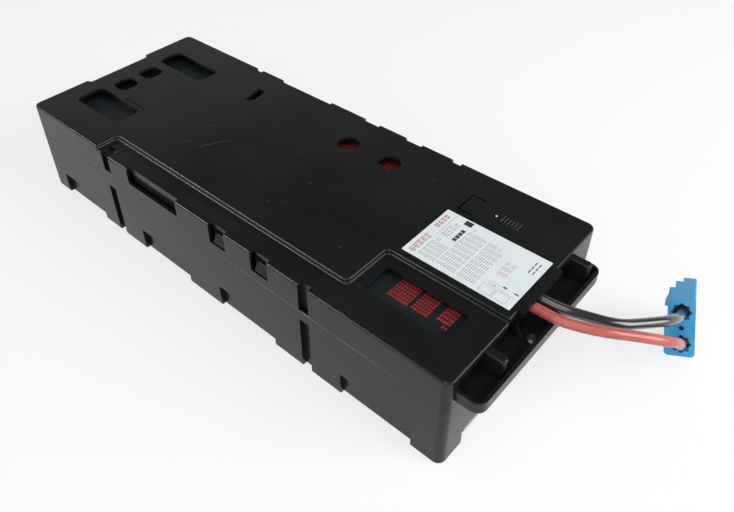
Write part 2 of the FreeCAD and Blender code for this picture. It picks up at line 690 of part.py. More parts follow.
def crossing_jumper(label, facing_back, facing_front, hug):
    """From the + of the battery that faces the front, across the gap, to the - of the one before it."""
    high, low = number("connection_up"), number("connection_down")
    start = number(terminal_face(facing_front)) - BARREL_OFF_FACE
    end = number(terminal_face(facing_back)) + BARREL_OFF_FACE
    reach = number("barrel_x")
    return cable(label, number("jumper_diameter"), [
        at(-reach, start, high), at(-37, start, high), at(-14, start + hug, high - 8.5),
        at(37, end, low), at(reach, end, low),
    ])


def bridging_jumper():
    """From battery 2 up out of its gap, over batteries 2 and 3, and down to battery 3."""
    start = number(terminal_face(2)) + BARREL_OFF_FACE
    end = number(terminal_face(3)) - BARREL_OFF_FACE
    low, high, over = number("connection_down"), number("connection_up"), number("cable_level")
    reach, riser = number("barrel_x"), number("riser_x")
    crest = over + 1.5
    return cable("jumper_2_3", number("jumper_diameter"), [
        at(-reach, start, low), at(1 - riser, start, low), at(2 - riser, start - 0.9, low + 22),
        at(1.5 - riser, start + 1.8, crest), at(3 - riser, start - 16, crest), at(-30, 260, over),
        at(4, 196, over), at(30, 132, over + 0.3), at(riser - 2, end - 2.6, crest + 0.2),
        at(riser - 1, end, high), at(reach, end, high),
    ])


def inner_leads():
    """The two heavy leads inside: battery 1's - along the right side, battery 4's + up from its gap."""
    reach, level, diameter = number("barrel_x"), number("lead_level"), number("lead_diameter")
    high, low = number("connection_up"), number("connection_down")
    left_x, exit_at = number("lead_left_x"), number("lead_exit")
    right_x = left_x + number("lead_spread")
    from_back = number(terminal_face(1)) - BARREL_OFF_FACE
    from_gap = number(terminal_face(4)) + BARREL_OFF_FACE
    negative = cable("negative_inner_lead", diameter, [
        at(reach, from_back, high), at(38, from_back, high), at(38.5, from_back, level),
        at(40.5, from_back - 17.5, level), at(57, 250, level), at(64, 184, level), at(60.5, 124, level),
        at(34, 74, level), at(right_x, 26, level), at(right_x, exit_at, level),
    ])
    positive = cable("positive_inner_lead", diameter, [
        at(-reach, from_gap, low), at(-36, from_gap, low), at(-17, from_gap - 0.3, 33),
        at(-12, from_gap - 0.3, 50), at(-12.5, from_gap + 2.6, level + 0.2), at(-11.5, 92, level + 0.2),
        at(-9, 52, level), at(left_x, 20, level), at(left_x, exit_at, level),
    ])
    return [negative, positive]


def free_leads():
    """The two leads in front of the case: out under the canopy, over the pan and down to the connector."""
    diameter, level = number("lead_diameter"), number("lead_level")
    red = [
        at(-1.5, 3.6, level), (-1.5, -206.0, 74.6), (-1.3, -221.6, 74.8), (7.6, -242.0, 74.6),
        (23.7, -255.8, 67.6), (39.5, -268.6, 60.9), (52.0, -275.4, 45.2),
        in_bore(-1, -18.0), in_bore(-1, 0),
    ]
    black = [
        at(7.0, 3.6, level), (7.0, -206.0, 74.6), (9.3, -217.7, 73.3), (15.0, -228.1, 71.3),
        (24.2, -244.3, 67.9), (39.8, -254.1, 63.3), (57.3, -264.4, 58.5),
        in_bore(1, -14.9), in_bore(1, 0),
    ]
    return [cable("positive_lead", diameter, red), cable("negative_lead", diameter, black)]


def connector_place():
    """The connector leans on its nose: its lowest corner rests on the floor."""
    turn = Rotation(13.4, 24.2, -15.3)
    nose_x, nose_y = number("housing_length"), -number("housing_thickness / 2")
    nose_z = -number("housing_width / 2")
    lowest = min(turn.multVec(Vector(nose_x, y, nose_z)).z for y in (0, nose_y))
    return Placement(Vector(*WIRE_FACE_AT, -lowest), turn)


def in_bore(side, beyond_seat):
    """A point on the line of one pole's bore, so far beyond the wire's seat."""
    local = Vector(number("wire_seat") + beyond_seat, 0, side * number("pole_pitch / 2"))
    return tuple(connector_place().multVec(local))


def lead_saddle():
    """A comb in the outlet that carries the two leads side by side."""
    saddle = Moulding("lead_saddle")
    left, right = "outlet_left + 0.1", "outlet_right - 0.1"
    block = [(left, "outlet_sill + 0.1"), (right, "outlet_sill + 0.1"), (right, f"{TOP} - 3.4"), (left, f"{TOP} - 3.4")]
    thickness = "hollow_depth + wall - lead_exit"
    saddle.pad("comb", "XZ_Plane", behind("lead_exit"), thickness, block)
    for name, x in (("left_seat", "lead_left_x"), ("right_seat", "lead_left_x + lead_spread")):
        seat = "lead_diameter / 2 + 0.05"
        bore = ("circle", x, "lead_level", seat)
        saddle.pocket(name, "XZ_Plane", behind("lead_exit - 1"), f"{thickness} + 2", bore, towards=1)
        mouth = [(f"{x} - {seat}", "lead_level"), (f"{x} + {seat}", "lead_level"),
                 (f"{x} + {seat}", f"{TOP} + 1"), (f"{x} - {seat}", f"{TOP} + 1")]
        saddle.pocket(name + "_mouth", "XZ_Plane", behind("lead_exit - 1"), f"{thickness} + 2", mouth, towards=1)
    return saddle.body


# ------------------------------------------------------------------ connector
def connector_housing():
    """Two-pole housing whose front half is a half-thickness tongue, so that two alike mate."""
    housing = Moulding("connector_housing")
    half = "housing_thickness / 2"
    length = "housing_length"
    side = [
        (0, f"-{half}"), (length, f"-{half}"), (length, "0"), (f"{length} * 0.82", "0"),
        (f"{length} * 0.82", "4.5"), (f"{length} * 0.52", "4.5"), (f"{length} * 0.52", half), (0, half),
    ]
    housing.pad("block", "XY_Plane", "-housing_width / 2", "housing_width", side)
    flank, proud = number(half), number(f"{half} + flank_step")
    housing.pad("lower_flank", "XY_Plane", "-housing_width / 2", "housing_width / 2 - 0.8",
                rectangle(0, f"{length} * 0.52", f"{half} - 1", f"{half} + flank_step"))
    housing.pad("upper_barb", "YZ_Plane", "0", f"{length} * 0.3",
                [(f"{half} - 1", 17.5), (half, 17.5), (f"{half} + flank_step", 14), (f"{half} - 1", 14)])
    foot = -number("housing_width / 2")
    housing.round_edges("foot_corners", "2.6", lambda edge: edge.BoundBox.XLength > 20
                        and level_edge(edge, foot) and any(abs(edge.BoundBox.YMin - y) < 0.1 for y in (-flank, proud)))
    housing.round_edges("flank_edges", "1.2", lambda edge: edge.BoundBox.XLength > 20
                        and level_edge(edge, -foot) and abs(abs(edge.BoundBox.YMin) - flank) < 0.1)
    for name, z in (("red", "-pole_pitch / 2"), ("black", "pole_pitch / 2")):
        bore = ("circle", "0", z, "wire_bore / 2")
        housing.pocket(name + "_bore", "YZ_Plane", "-1", "21", bore, towards=1)
        notches = []
        for angle in range(0, 360, 45):
            across, along = math.cos(math.radians(angle)), math.sin(math.radians(angle))
            notches.append(("circle", f"wire_bore / 2 * {across:.4f}", f"{z} + wire_bore / 2 * {along:.4f}", "0.95"))
        housing.pocket(name + "_bore_notches", "YZ_Plane", "-1", "4.5", *notches, towards=1)
        chamber = [("18", f"{z} - 6.5"), (f"{length} + 1", f"{z} - 6.5"), (f"{length} + 1", f"{z} + 6.5"),
                   ("18", f"{z} + 6.5")]
        housing.pocket(name + "_chamber", "XZ_Plane", "-5", "9.6", chamber, towards=1)
    housing.pocket("pin_hole", "YZ_Plane", "-1", "8", ("circle", "0", "0", "1.6"), towards=1)
    housing.place(connector_place())
    return housing.body


def connector_contact(label, side):
    """A crimp barrel on the wire's end and the flat blade that mates."""
    contact = Moulding(label)
    z = f"{side} * pole_pitch / 2"
    barrel_end = "19.5"
    contact.pad("barrel", "YZ_Plane", "wire_seat", f"{barrel_end} - wire_seat", ("circle", "0", z, "4.4"))
    blade = [(f"{barrel_end} - 1", f"{z} - 4.6"), ("housing_length - 4", f"{z} - 4.6"),
             ("housing_length - 4", f"{z} + 4.6"), (f"{barrel_end} - 1", f"{z} + 4.6")]
    contact.pad("blade", "XZ_Plane", "-3.2", "2.4", blade)
    contact.place(connector_place())
    return contact.body


def contact_springs():
    """The two leaf springs under the contacts."""
    springs = Moulding("contact_springs")
    outlines = []
    for side in (-1, 1):
        z = f"{side} * pole_pitch / 2"
        outlines.append([("22", f"{z} - 3.6"), ("housing_length - 6", f"{z} - 3.6"),
                         ("housing_length - 6", f"{z} + 3.6"), ("22", f"{z} + 3.6")])
    springs.pad("leaves", "XZ_Plane", "-4.9", "0.8", *outlines)
    springs.place(connector_place())
    return springs.body


# ------------------------------------------------------------------ small pieces
def front_screw():
    """The pan-head screw that stands in the pull pan's floor."""
    head = doc.addObject("Part::Cylinder", "screw_head")
    head.Radius, head.Height = 3.6, 1.2
    shank = doc.addObject("Part::Cylinder", "screw_shank")
    shank.Radius, shank.Height = 1.5, 4.5
    shank.Placement = Placement(Vector(0, 0, -4.4), Rotation())
    dome = doc.addObject("Part::Cone", "screw_dome")
    dome.Radius1, dome.Radius2, dome.Height = 3.6, 2.4, 1.0
    dome.Placement = Placement(Vector(0, 0, 1.2), Rotation())
    head_and_shank = doc.addObject("Part::MultiFuse", "screw_blank")
    head_and_shank.Shapes = [head, dome, shank]
    cross = []
    for name, length, width in (("driver_slot_a", 4.4, 0.9), ("driver_slot_b", 0.9, 4.4)):
        arm = doc.addObject("Part::Box", name)
        arm.Length, arm.Width, arm.Height = length, width, 2
        arm.Placement = Placement(Vector(-length / 2, -width / 2, 1.1), Rotation())
        cross.append(arm)
    driver = doc.addObject("Part::MultiFuse", "driver_cross")
    driver.Shapes = cross
    screw = doc.addObject("Part::Cut", "front_screw")
    screw.Base, screw.Tool = head_and_shank, driver
    screw.Label = "front_screw"
    screw.Placement = Placement(Vector(*SCREW_AT, number("pan_base + wall")), Rotation(Vector(0, 0, 1), 25))
    doc.recompute()
    return screw


def foam_pad(index):
    """The thin pad between the floor ribs and one battery."""
    distance = f"{BATTERY_STARTS[index]} + (battery_height - pad_width) / 2"
    pad = sized_box(f"foam_pad_{index}", "pad_length", "pad_width", "battery_base - wall - floor_rib_height",
                    "-pad_length / 2", behind(distance), "wall + floor_rib_height")
    pad.Label = f"foam_pad_{index}"
    return pad


def labels():
    """The thin self-adhesive labels: one on the top, one in the recess at the foot of the front."""
    top = sized_box("cover_label", "cover_label_width", "cover_label_length", "label_film",
                    "cover_label_left", behind("cover_label_front"), TOP)
    front = sized_box("front_label", "46", "label_film", "10", "-52", behind("foot_recess_depth - label_film"), "2")
    for film, label in ((top, "cover_label"), (front, "front_label")):
        film.Label = label
    return [top, front]


# ------------------------------------------------------------------ the whole cartridge
def cartridge():
    """Every piece, each in its place."""
    pieces = [bottom_tray(), top_cover()]
    for index in BATTERY_STARTS:
        pieces += [battery(index), battery_terminals(index), foam_pad(index)]
    for back, front in ((2, 1), (4, 3)):
        ends = [receptacle(f"hood_{front}_positive", front, "positive"),
                receptacle(f"hood_{back}_negative", back, "negative")]
        pieces.append(group(f"jumper_{front}_{back}_receptacles", ends))
        pieces.append(crossing_jumper(f"jumper_{front}_{back}", back, front, 0.0 if front == 1 else 1.5))
    ends = [receptacle("hood_2_positive", 2, "positive"), receptacle("hood_3_negative", 3, "negative")]
    pieces += [group("jumper_2_3_receptacles", ends), bridging_jumper()]
    pieces += [receptacle("positive_receptacle", 4, "positive"), receptacle("negative_receptacle", 1, "negative")]
    pieces += inner_leads() + free_leads()
    pieces += [lead_saddle(), connector_housing()]
    pieces += [connector_contact("positive_contact", -1), connector_contact("negative_contact", 1)]
    pieces += [contact_springs(), front_screw(), *labels()]
    return pieces


def write(pieces):
    """Checks the document and each piece, then writes each one to its own file."""
    doc.recompute()
    for item in doc.Objects:
        if "Invalid" in item.State or "Error" in item.State:
            raise RuntimeError(f"{item.Label}: {item.State}")
    os.makedirs("parts", exist_ok=True)
    for piece in pieces:
        shape = piece.Shape
        if shape.isNull() or not shape.isValid() or not shape.Solids:
            raise RuntimeError(f"{piece.Label}: no valid solid")
        shape.exportStep(f"parts/{piece.Label}.step")
        box = shape.optimalBoundingBox(False)
        print(f"{piece.Label}: {len(shape.Solids)} solid(s), {shape.Volume / 1000:.1f} cm3, "
              f"x {box.XMin:.1f} to {box.XMax:.1f}, y {box.YMin:.1f} to {box.YMax:.1f}, "
              f"z {box.ZMin:.1f} to {box.ZMax:.1f}")


write(cartridge())
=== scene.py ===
"""Looks of a UPS battery cartridge: moulded black case, sealed batteries, two leads and their connector."""

import logging
import math
from dataclasses import dataclass
from enum import Enum
from typing import Dict, List, Sequence, Tuple, Union

import bpy
from mathutils import Matrix, Vector


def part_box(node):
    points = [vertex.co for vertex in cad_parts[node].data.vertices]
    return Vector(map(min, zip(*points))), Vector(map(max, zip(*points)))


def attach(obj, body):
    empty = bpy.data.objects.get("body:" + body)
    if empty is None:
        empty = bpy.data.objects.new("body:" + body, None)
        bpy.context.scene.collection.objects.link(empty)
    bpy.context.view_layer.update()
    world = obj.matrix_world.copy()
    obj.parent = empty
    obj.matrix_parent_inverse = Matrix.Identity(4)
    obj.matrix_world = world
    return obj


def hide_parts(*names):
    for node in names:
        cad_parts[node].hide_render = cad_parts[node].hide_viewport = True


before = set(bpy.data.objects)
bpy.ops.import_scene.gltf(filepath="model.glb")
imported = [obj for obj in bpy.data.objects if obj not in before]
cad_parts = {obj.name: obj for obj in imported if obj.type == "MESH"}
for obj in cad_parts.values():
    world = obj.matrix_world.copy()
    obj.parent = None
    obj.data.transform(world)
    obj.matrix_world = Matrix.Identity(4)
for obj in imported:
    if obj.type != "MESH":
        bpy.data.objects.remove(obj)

LOG = logging.getLogger("cartridge")
BODY = "root"
MM = 0.001
Point = Tuple[float, float, float]
Colour = Tuple[float, float, float]
Rgba = Tuple[float, float, float, float]
Edges = Tuple[float, float, float, float]
Socket = bpy.types.NodeSocket
Value = Union[Socket, float]


def opaque(colour: Colour) -> Rgba:
    """The colour with full alpha."""
    return (*colour, 1.0)


# ---------------------------------------------------------------------------------------------
# Node building
# ---------------------------------------------------------------------------------------------
class Wiring:
    """A node tree with short ways to add, fill and join nodes."""

    def __init__(self, tree: bpy.types.NodeTree) -> None:
        """Takes the tree that the nodes go in."""
        self.tree = tree

    def add(self, kind: str, **settings: object) -> bpy.types.Node:
        """Adds a node.

        Args:
            kind: Blender's node type.
            **settings: attributes of the node to set.

        Returns:
            The new node.
        """
        node = self.tree.nodes.new(kind)
        for name, value in settings.items():
            setattr(node, name, value)
        return node

    def join(self, source: Socket, target: Socket) -> None:
        """Links an output to an input."""
        self.tree.links.new(source, target)

    def fill(self, sockets: Sequence[Socket], values: Sequence[Union[Value, Rgba]]) -> None:
        """Fills inputs in order.

        Args:
            sockets: the inputs.
            values: an output, a number or a colour for each.
        """
        for socket, value in zip(sockets, values):
            if isinstance(value, Socket):
                self.join(value, socket)
            else:
                socket.default_value = value

    def maths(self, operation: str, first: Value, second: Value) -> Socket:
        """Works out two values in a Math node.

        Args:
            operation: what the node does.
            first: an output or a number.
            second: an output or a number.

        Returns:
            The node's value output.
        """
        node = self.add("ShaderNodeMath", operation=operation)
        self.fill(node.inputs, (first, second))
        return node.outputs["Value"]

    def ramp(self, source: Socket, low: float, high: float, bottom: float, top: float) -> Socket:
        """Maps a span of a value to another span, held at its ends.

        Args:
            source: the value.
            low: where the bottom is reached.
            high: where the top is reached.
            bottom: the result at and under low.
            top: the result at and over high.

        Returns:
            The mapped value output.
        """
        node = self.add("ShaderNodeMapRange")
        for name, value in (("From Min", low), ("From Max", high), ("To Min", bottom), ("To Max", top)):
            node.inputs[name].default_value = value
        self.join(source, node.inputs["Value"])
        return node.outputs["Result"]


class Shading(Wiring):
    """A material's nodes round a Principled shader, on object coordinates."""

    def __init__(self, name: str) -> None:
        """Starts the material.

        Args:
            name: the material's name.
        """
        self.material = bpy.data.materials.new(name)
        self.material.use_nodes = True
        super().__init__(self.material.node_tree)
        self.shader = self.tree.nodes["Principled BSDF"]
        self.place = self.add("ShaderNodeTexCoord").outputs["Object"]

    def set(self, **values: float) -> None:
        """Sets sockets of the Principled shader, with underscores for spaces."""
        for name, value in values.items():
            self.shader.inputs[name.replace("_", " ")].default_value = value

    def feed(self, name: str, source: Socket) -> None:
        """Links an output to a socket of the Principled shader."""
        self.join(source, self.shader.inputs[name])

    def noise(self, scale: float, detail: float = 3.0, stretch: Point = (1.0, 1.0, 1.0)) -> Socket:
        """Noise over the piece.

        Args:
            scale: cells per metre.
            detail: octaves.
            stretch: scale along each axis.

        Returns:
            The noise's value output.
        """
        mapping = self.add("ShaderNodeMapping")
        mapping.inputs["Scale"].default_value = stretch
        self.join(self.place, mapping.inputs["Vector"])
        node = self.add("ShaderNodeTexNoise")
        node.inputs["Scale"].default_value = scale
        node.inputs["Detail"].default_value = detail
        self.join(mapping.outputs["Vector"], node.inputs["Vector"])
        return node.outputs["Fac"]

    def mix(self, amount: Socket, first: Union[Socket, Colour], second: Union[Socket, Colour]) -> Socket:
        """Mixes two colours.

        Args:
            amount: value output that picks between them.
            first: colour, or colour output, at 0.
            second: colour, or colour output, at 1.

        Returns:
            The colour output.
        """
        node = self.add("ShaderNodeMix", data_type="RGBA")
        self.join(amount, node.inputs["Factor"])
        colours = [value if isinstance(value, Socket) else opaque(value) for value in (first, second)]
        self.fill(node.inputs[6:8], colours)
        return node.outputs[2]

    def bump(self, heights: Sequence[Tuple[Socket, float]]) -> None:
        """Adds bumps to the shader's normal.

        Args:
            heights: a height output and its depth in metres, for each bump.
        """
        before = None
        for height, depth in heights:
            node = self.add("ShaderNodeBump")
            node.inputs["Distance"].default_value = depth
            self.join(height, node.inputs["Height"])
            if before is not None:
                self.join(before, node.inputs["Normal"])
            before = node.outputs["Normal"]
        self.feed("Normal", before)


# ---------------------------------------------------------------------------------------------
# Finishes
# ---------------------------------------------------------------------------------------------
@dataclass(frozen=True)
class MouldedPlastic:
    """Injection-moulded plastic with fine grain, flow marks, light scuffs and dust."""

    name: str
    colour: Colour
    worn_colour: Colour
    roughness: float = 0.36
    grain_depth: float = 0.000003
    scuff_amount: float = 0.5
    refraction: float = 1.35
    mottle_scale: float = 14.0
    mottle_amount: float = 0.35
    scuff_scale: float = 60.0
    speck_scale: float = 700.0
    speck_amount: float = 0.35
    mark_dullness: float = 0.12
    grain_scale: float = 2600.0
    sink_scale: float = 22.0
    sink_depth: float = 0.0001

    def make(self) -> bpy.types.Material:
        """Builds the material.

        Returns:
            The new material.
        """
        shading = Shading(self.name)
        cloud = shading.noise(self.mottle_scale, detail=4.0)
        streaks = shading.noise(self.scuff_scale, detail=6.0, stretch=(1.0, 0.18, 1.0))
        scuffs = shading.ramp(streaks, low=0.62, high=0.76, bottom=0.0, top=self.scuff_amount)
        dust = shading.noise(self.speck_scale, detail=1.0)
        specks = shading.ramp(dust, low=0.76, high=0.82, bottom=0.0, top=self.speck_amount)
        marks = shading.maths("MAXIMUM", scuffs, specks)
        mottle = shading.ramp(cloud, low=0.3, high=0.7, bottom=0.0, top=self.mottle_amount)
        shade = shading.mix(mottle, self.colour, self.worn_colour)
        shading.feed("Base Color", shading.mix(marks, shade, self.worn_colour))
        rough = shading.ramp(cloud, low=0.3, high=0.7,
                             bottom=self.roughness - 0.05, top=self.roughness + 0.06)
        dull = shading.maths("MULTIPLY", marks, self.mark_dullness)
        shading.feed("Roughness", shading.maths("ADD", rough, dull))
        grain = shading.noise(self.grain_scale, detail=2.0)
        sink = shading.noise(self.sink_scale, detail=1.0)
        shading.bump([(sink, self.sink_depth), (grain, self.grain_depth)])
        shading.set(IOR=self.refraction)
        return shading.material


@dataclass(frozen=True)
class WireJacket:
    """Glossy extruded PVC with faint drawing lines and handling marks."""

    name: str
    colour: Colour
    deep_colour: Colour
    roughness: float = 0.24
    coat: float = 0.2
    cloud_scale: float = 45.0
    smear_scale: float = 260.0
    wave_scale: float = 90.0
    wave_depth: float = 0.00012
    line_scale: float = 1400.0
    line_depth: float = 0.000004

    def make(self) -> bpy.types.Material:
        """Builds the material.

        Returns:
            The new material.
        """
        shading = Shading(self.name)
        cloud = shading.ramp(shading.noise(self.cloud_scale), low=0.35, high=0.65, bottom=0.0, top=1.0)
        shading.feed("Base Color", shading.mix(cloud, self.colour, self.deep_colour))
        smears = shading.noise(self.smear_scale)
        rough = shading.ramp(smears, low=0.4, high=0.7, bottom=self.roughness, top=self.roughness + 0.08)
        shading.feed("Roughness", rough)
        waves = shading.noise(self.wave_scale, detail=2.0)
        lines = shading.noise(self.line_scale, detail=2.0)
        shading.bump([(waves, self.wave_depth), (lines, self.line_depth)])
        shading.set(Coat_Weight=self.coat, Coat_Roughness=0.08)
        return shading.material


@dataclass(frozen=True)
class PlatedMetal:
    """Plated or bare metal with fine brushing and a little tarnish; for the contacts both colours are
    darkened as painted shade.
    """

    name: str
    colour: Colour
    tarnish_and_shade: Colour
    roughness: float = 0.3
    stain_scale: float = 180.0
    stain_amount: float = 0.7
    brush_scale: float = 900.0
    brush_depth: float = 0.00002

    def make(self) -> bpy.types.Material:
        """Builds the material.

        Returns:
            The new material.
        """
        shading = Shading(self.name)
        clouds = shading.noise(self.stain_scale, detail=4.0)
        stain = shading.ramp(clouds, low=0.45, high=0.75, bottom=0.0, top=self.stain_amount)
        # Mixes towards the second colour: tarnish, and for the contacts painted shade as well.
        shading.feed("Base Color", shading.mix(stain, self.colour, self.tarnish_and_shade))
        lines = shading.noise(self.brush_scale, detail=2.0, stretch=(1.0, 0.08, 1.0))
        rough = shading.ramp(lines, low=0.3, high=0.7, bottom=self.roughness - 0.06, top=self.roughness + 0.1)
        shading.feed("Roughness", rough)
        shading.bump([(lines, self.brush_depth)])
        shading.set(Metallic=1.0)
        return shading.material


@dataclass(frozen=True)
class LabelFilm:
    """Satin film or ink, very slightly wavy, with a second shade in soft clouds."""

    name: str
    colour: Colour
    shade: Colour
    roughness: float = 0.42
    cloud_scale: float = 40.0
    wave_scale: float = 90.0
    wave_depth: float = 0.00008

    def make(self) -> bpy.types.Material:
        """Builds the material.

        Returns:
            The new material.
        """
        shading = Shading(self.name)
        clouds = shading.noise(self.cloud_scale, detail=4.0)
        amount = shading.ramp(clouds, low=0.35, high=0.7, bottom=0.0, top=1.0)
        shading.feed("Base Color", shading.mix(amount, self.colour, self.shade))
        rough = shading.ramp(amount, low=0.0, high=1.0, bottom=self.roughness, top=self.roughness + 0.08)
        shading.feed("Roughness", rough)
        shading.bump([(shading.noise(self.wave_scale, detail=2.0), self.wave_depth)])
        return shading.material


@dataclass(frozen=True)
class FoamRubber:
    """Closed-cell foam: matt with small cells."""

    name: str
    colour: Colour
    cell_colour: Colour
    cell_scale: float = 900.0
    cell_depth: float = 0.0002
    roughness: float = 0.9

    def make(self) -> bpy.types.Material:
        """Builds the material.

        Returns:
            The new material.
        """
        shading = Shading(self.name)
        cells = shading.add("ShaderNodeTexVoronoi")
        cells.inputs["Scale"].default_value = self.cell_scale
        shading.join(shading.place, cells.inputs["Vector"])
        amount = shading.ramp(cells.outputs["Distance"], low=0.1, high=0.6, bottom=0.0, top=1.0)
        shading.feed("Base Color", shading.mix(amount, self.cell_colour, self.colour))
        shading.bump([(amount, self.cell_depth)])
        shading.set(Roughness=self.roughness)
        return shading.material


class Finishes(Enum):
    """Every finish of the cartridge."""

    CASE = MouldedPlastic("case_black", (0.0084, 0.0098, 0.0102), (0.015, 0.017, 0.017), roughness=0.27)
    SCUFF = MouldedPlastic("case_scuff", (0.085, 0.092, 0.092), (0.14, 0.15, 0.15), roughness=0.5)
    BATTERY = MouldedPlastic("battery_case", (0.012, 0.016, 0.019), (0.023, 0.029, 0.034), roughness=0.40)
    BLUE = MouldedPlastic("connector_blue", (0.050, 0.390, 0.800), (0.110, 0.470, 0.850),
                          roughness=0.45, grain_depth=0.00002, scuff_amount=0.3)
    NYLON = MouldedPlastic("clear_nylon", (0.62, 0.60, 0.54), (0.70, 0.68, 0.62),
                           roughness=0.38, grain_depth=0.00002, scuff_amount=0.2)
    RED_WIRE = WireJacket("red_wire", (0.60, 0.145, 0.115), (0.47, 0.090, 0.072))
    BLACK_WIRE = WireJacket("black_wire", (0.022, 0.022, 0.024), (0.040, 0.038, 0.040),
                            roughness=0.16, coat=1.0)
    TINNED = PlatedMetal("tinned_tab", (0.66, 0.66, 0.64), (0.45, 0.44, 0.41))
    # Contacts: both colours sit far below plated silver, as painted shade for the inside of the connector's
    # bores.
    SILVER_IN_PAINTED_SHADE = PlatedMetal("silver_contact", (0.13, 0.13, 0.14), (0.06, 0.055, 0.05), roughness=0.45)
    SPRING = PlatedMetal("spring_steel", (0.52, 0.53, 0.55), (0.40, 0.40, 0.40))
    SCREW = PlatedMetal("screw_steel", (0.20, 0.20, 0.21), (0.45, 0.45, 0.46), roughness=0.35)
    WHITE_FILM = LabelFilm("label_white", (0.86, 0.92, 0.93), (0.81, 0.87, 0.89))
    FOAM = FoamRubber("foam", (0.10, 0.10, 0.10), (0.03, 0.03, 0.03))
    GREY_FILM = LabelFilm("front_label_film", (0.46, 0.47, 0.44), (0.62, 0.63, 0.60), roughness=0.5)
    GREY_INK = LabelFilm("grey_ink", (0.36, 0.39, 0.40), (0.46, 0.49, 0.50), roughness=0.5)
    DARK_INK = LabelFilm("dark_ink", (0.03, 0.035, 0.04), (0.06, 0.065, 0.07), roughness=0.5)
    RED_INK = LabelFilm("red_ink", (0.50, 0.034, 0.028), (0.20, 0.014, 0.013), roughness=0.45)
    PALE_RED_INK = LabelFilm("pale_red_ink", (0.52, 0.22, 0.23), (0.60, 0.34, 0.35), roughness=0.5)


class Paint:
    """Builds each finish once."""

    def __init__(self) -> None:
        """Starts with nothing built."""
        self._made: Dict[Finishes, bpy.types.Material] = {}

    def __call__(self, finish: Finishes) -> bpy.types.Material:
        """Gives the material of a finish, built the first time it is asked for.

        Args:
            finish: the finish.

        Returns:
            Its material.
        """
        if finish not in self._made:
            self._made[finish] = finish.value.make()
        return self._made[finish]

    def node(self, name: str, finish: Finishes) -> None:
        """Gives a CAD node its finish.

        Args:
            name: the node's name.
            finish: the finish.
        """
        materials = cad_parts[name].data.materials
        materials.clear()
        materials.append(self(finish))


# ---------------------------------------------------------------------------------------------
# Meshes
# ---------------------------------------------------------------------------------------------
def piece_from(name: str, vertices: Sequence[Point], faces: Sequence[Sequence[int]],
               material: bpy.types.Material) -> bpy.types.Object:
    """Makes a mesh piece that rides on the cartridge.

    Args:
        name: the piece's name.
        vertices: points in metres.
        faces: corner numbers of each face.
        material: its material.

    Returns:
        The new object.
    """
    mesh = bpy.data.meshes.new(name)
    mesh.from_pydata([tuple(v) for v in vertices], [], [tuple(f) for f in faces])
    mesh.materials.append(material)
    mesh.update()
    piece = bpy.data.objects.new(name, mesh)
    bpy.context.scene.collection.objects.link(piece)
    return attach(piece, BODY)


BOX_FACES = ((0, 3, 2, 1), (4, 5, 6, 7), (0, 1, 5, 4), (1, 2, 6, 5), (2, 3, 7, 6), (3, 0, 4, 7))


def boxes(spans: Sequence[Tuple[Point, Point]]) -> Tuple[List[Point], List[Tuple[int, ...]]]:
    """Vertices and faces of boxes.

    Args:
        spans: lowest and highest corner of each, in millimetres.

    Returns:
        The vertices in metres, and the faces.
    """
    vertices: List[Point] = []
    faces: List[Tuple[int, ...]] = []
    for low, high in spans:
        first = len(vertices)
        for z in (low[2], high[2]):
            for x, y in ((low[0], low[1]), (high[0], low[1]), (high[0], high[1]), (low[0], high[1])):
                vertices.append((x * MM, y * MM, z * MM))
        faces += [tuple(first + corner for corner in face) for face in BOX_FACES]
    return vertices, faces


